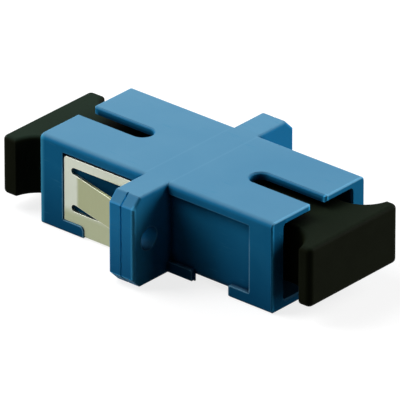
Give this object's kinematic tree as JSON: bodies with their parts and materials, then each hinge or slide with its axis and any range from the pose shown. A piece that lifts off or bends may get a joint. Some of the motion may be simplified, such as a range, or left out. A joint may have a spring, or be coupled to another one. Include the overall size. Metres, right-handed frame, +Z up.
{
  "type": "sc simplex fibre optic adapter",
  "caption": "Flanged fibre adapter: keyed square ports back to back on a shared split sleeve, a folded spring clip for a panel cut-out, flared dust caps in the ports.",
  "frame": {"origin": "on the optical axis, in the mating plane between the two housing halves", "axes": "+X along the optical axis towards the end without the panel clip, +Y across the flange, +Z up, towards the keyways; the underside lies at Z -0.0045"},
  "size_m": [0.0366, 0.022, 0.009],
  "materials": {
    "blue_housing": "satin moulded",
    "ivory_insert": "satin moulded",
    "white_ceramic": "ground",
    "spring_steel": "rolled satin",
    "black_cap": "soft matt"
  },
  "bodies": {
    "adapter": {"body_half_left": "blue_housing", "body_half_right": "blue_housing", "latch_insert_left": "ivory_insert", "latch_insert_right": "ivory_insert", "alignment_sleeve": "white_ceramic", "panel_clip": "spring_steel"},
    "dust_cap_left": {"dust_cap_left": "black_cap"},
    "dust_cap_right": {"dust_cap_right": "black_cap"}
  },
  "joints": [
    {"name": "dust_cap_left_slide", "type": "slide", "parent": "adapter", "child": "dust_cap_left", "axis": [-1, 0, 0], "range_m": [-0.0006, 0.016]},
    {"name": "dust_cap_right_slide", "type": "slide", "parent": "adapter", "child": "dust_cap_right", "axis": [1, 0, 0], "range_m": [0, 0.016]}
  ]
}
